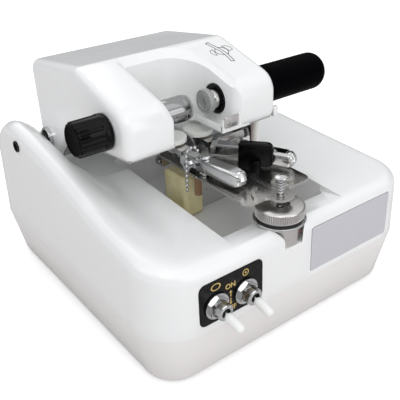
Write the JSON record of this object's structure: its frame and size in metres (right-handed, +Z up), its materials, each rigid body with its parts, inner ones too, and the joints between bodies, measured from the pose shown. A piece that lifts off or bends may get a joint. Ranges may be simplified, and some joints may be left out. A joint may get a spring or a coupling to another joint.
{
  "type": "lens groover",
  "caption": "Desktop machine that cuts a groove into a spectacle lens's edge: a tilting head clamps and turns the lens over a motor-driven wheel between two guide rollers.",
  "frame": {"origin": "on the table, under the middle of the whole machine's width and depth", "axes": "+Z up, -Y towards the user and the switches, +X to the user's right, where the long clamp handle points"},
  "size_m": [0.21, 0.2544, 0.1638],
  "materials": {
    "white_plastic": "glossy white moulded plastic",
    "black_plastic": "glossy black moulded plastic",
    "matt_black": "matt black plastic",
    "chrome": "polished chrome plating",
    "steel": "turned steel",
    "nylon": "natural white nylon",
    "brown_nylon": "brown plastic pin",
    "bronze": "turned bronze bush",
    "sponge": "damp yellow sponge",
    "rubber": "black rubber",
    "pad_rubber": "pale soft pad",
    "label": "plain satin plate",
    "circuit_board": "green circuit board",
    "wheel_abrasive": "grey diamond-coated wheel"
  },
  "bodies": {
    "housing": {"upper_shell": "white_plastic", "lower_tray": "white_plastic", "switch_panel": "matt_black", "label_plate": "label", "lens_switch_body": "matt_black", "wheel_switch_body": "matt_black", "lens_switch_nut": "chrome", "wheel_switch_nut": "chrome", "dial_housing": "steel", "dial_washer": "matt_black", "plate_pivot_pin": "steel", "spindle_block": "steel", "drive_belt": "rubber", "wheel_motor": "steel", "sponge": "sponge", "stop_post": "nylon", "hinge_shaft": "chrome", "power_inlet": "matt_black", "fuse_holder": "matt_black", "transformer": "steel", "control_board": "circuit_board"},
    "lens_switch": {"lens_switch_lever": "chrome", "lens_lever_sleeve": "white_plastic"},
    "wheel_switch": {"wheel_switch_lever": "chrome", "wheel_lever_sleeve": "white_plastic"},
    "dial": {"depth_dial": "steel"},
    "spindle": {"depth_spindle": "chrome", "spindle_spring": "steel"},
    "plate": {"guide_plate": "chrome", "plate_guide_pin": "brown_nylon", "left_arm_stud": "steel", "right_arm_stud": "steel"},
    "lever": {"opening_lever": "black_plastic"},
    "left_guide": {"left_arm": "chrome"},
    "right_guide": {"right_arm": "chrome"},
    "left_guide_roller": {"left_roller": "nylon"},
    "right_guide_roller": {"right_roller": "nylon"},
    "chain": {"bead_chain": "chrome"},
    "wheel": {"grooving_wheel": "wheel_abrasive", "wheel_shaft": "chrome", "wheel_pulley": "steel"},
    "motor": {"motor_pulley": "steel"},
    "head": {"head_cover": "white_plastic", "head_base": "steel", "lens_motor": "steel", "left_hinge_bush": "matt_black", "right_hinge_bush": "matt_black", "chuck_bush": "bronze", "clamp_guide": "black_plastic"},
    "chuck": {"chuck_shaft": "steel", "left_chuck": "chrome", "left_pad": "pad_rubber", "chuck_knob": "black_plastic", "chuck_gear": "steel"},
    "idler": {"idler_gear": "nylon"},
    "pinion": {"motor_pinion": "steel"},
    "grip": {"clamp_grip": "black_plastic"},
    "clamp": {"clamp_shaft": "chrome"},
    "clamp_pad": {"right_pad": "pad_rubber"}
  },
  "joints": [
    {"name": "lens_switch_tilt", "type": "hinge", "parent": "housing", "child": "lens_switch", "pos_m": [-0.06595, -0.10862, 0.0538], "axis": [-1, 0, 0], "range_deg": [0, 26]},
    {"name": "wheel_switch_tilt", "type": "hinge", "parent": "housing", "child": "wheel_switch", "pos_m": [-0.04485, -0.10862, 0.0538], "axis": [-1, 0, 0], "range_deg": [0, 26]},
    {"name": "dial_turn", "type": "hinge", "parent": "housing", "child": "dial", "pos_m": [-0.0065, -0.08892, 0.08303], "axis": [0, 0, 1], "range_deg": [0, 340]},
    {"name": "spindle_rise", "type": "slide", "parent": "housing", "child": "spindle", "axis": [0, 0, 1], "range_m": [0, 0.001]},
    {"name": "plate_tilt", "type": "hinge", "parent": "housing", "child": "plate", "pos_m": [-0.031, 0.00158, 0.09213], "axis": [-1, 0, 0], "range_deg": [0, 0.62]},
    {"name": "lever_turn", "type": "hinge", "parent": "plate", "child": "lever", "pos_m": [0.002, -0.05692, 0.09703], "axis": [0, 0, -1], "range_deg": [0, 30]},
    {"name": "left_arm_swing", "type": "hinge", "parent": "plate", "child": "left_guide", "pos_m": [-0.0246, -0.04092, 0.09953], "axis": [0, 0, 1], "range_deg": [0, 7]},
    {"name": "right_arm_swing", "type": "hinge", "parent": "plate", "child": "right_guide", "pos_m": [0.0066, -0.04092, 0.09953], "axis": [0, 0, -1], "range_deg": [0, 7]},
    {"name": "left_roller_turn", "type": "hinge", "parent": "left_guide", "child": "left_guide_roller", "pos_m": [-0.0283, -0.01092, 0.11053], "axis": [0, 0, 1], "continuous": true},
    {"name": "right_roller_turn", "type": "hinge", "parent": "right_guide", "child": "right_guide_roller", "pos_m": [-0.0073, -0.01092, 0.11053], "axis": [0, 0, 1], "continuous": true},
    {"name": "chain_swing", "type": "hinge", "parent": "left_guide", "child": "chain", "pos_m": [-0.0297, -0.03442, 0.11403], "axis": [1, 0, 0], "range_deg": [-20, 20]},
    {"name": "wheel_spin", "type": "hinge", "parent": "housing", "child": "wheel", "pos_m": [-0.0182, -0.01242, 0.10053], "axis": [1, 0, 0], "continuous": true},
    {"name": "motor_spin", "type": "hinge", "parent": "housing", "child": "motor", "pos_m": [0.031, -0.01242, 0.0285], "axis": [1, 0, 0], "continuous": true},
    {"name": "head_tilt", "type": "hinge", "parent": "housing", "child": "head", "pos_m": [0, 0.06008, 0.10353], "axis": [-1, 0, 0], "range_deg": [0, 45]},
    {"name": "chuck_turn", "type": "hinge", "parent": "head", "child": "chuck", "pos_m": [-0.0805, -0.02292, 0.13553], "axis": [1, 0, 0], "continuous": true},
    {"name": "idler_turn", "type": "hinge", "parent": "head", "child": "idler", "pos_m": [-0.071, 0.00308, 0.13553], "axis": [1, 0, 0], "continuous": true},
    {"name": "pinion_turn", "type": "hinge", "parent": "head", "child": "pinion", "pos_m": [-0.071, 0.02508, 0.13553], "axis": [1, 0, 0], "continuous": true},
    {"name": "grip_turn", "type": "hinge", "parent": "head", "child": "grip", "pos_m": [0.0346, -0.02292, 0.13553], "axis": [1, 0, 0], "range_deg": [0, 120]},
    {"name": "clamp_slide", "type": "slide", "parent": "head", "child": "clamp", "axis": [-1, 0, 0], "range_m": [0, 0.008]},
    {"name": "clamp_pad_turn", "type": "hinge", "parent": "clamp", "child": "clamp_pad", "pos_m": [-0.0115, -0.02292, 0.13553], "axis": [1, 0, 0], "continuous": true}
  ],
  "couplings": [
    {"joint": "spindle_rise", "follows": "dial_turn", "m_per_rad": 0.00016515},
    {"joint": "plate_tilt", "follows": "dial_turn", "ratio": 0.0017941},
    {"joint": "left_arm_swing", "follows": "lever_turn", "ratio": 0.23283},
    {"joint": "right_arm_swing", "follows": "lever_turn", "ratio": 0.23283},
    {"joint": "motor_spin", "follows": "wheel_spin", "ratio": 0.54118},
    {"joint": "idler_turn", "follows": "chuck_turn", "ratio": -0.85714},
    {"joint": "pinion_turn", "follows": "chuck_turn", "ratio": 1.5},
    {"joint": "clamp_pad_turn", "follows": "chuck_turn", "ratio": 1},
    {"joint": "clamp_slide", "follows": "grip_turn", "m_per_rad": 0.0038149}
  ]
}
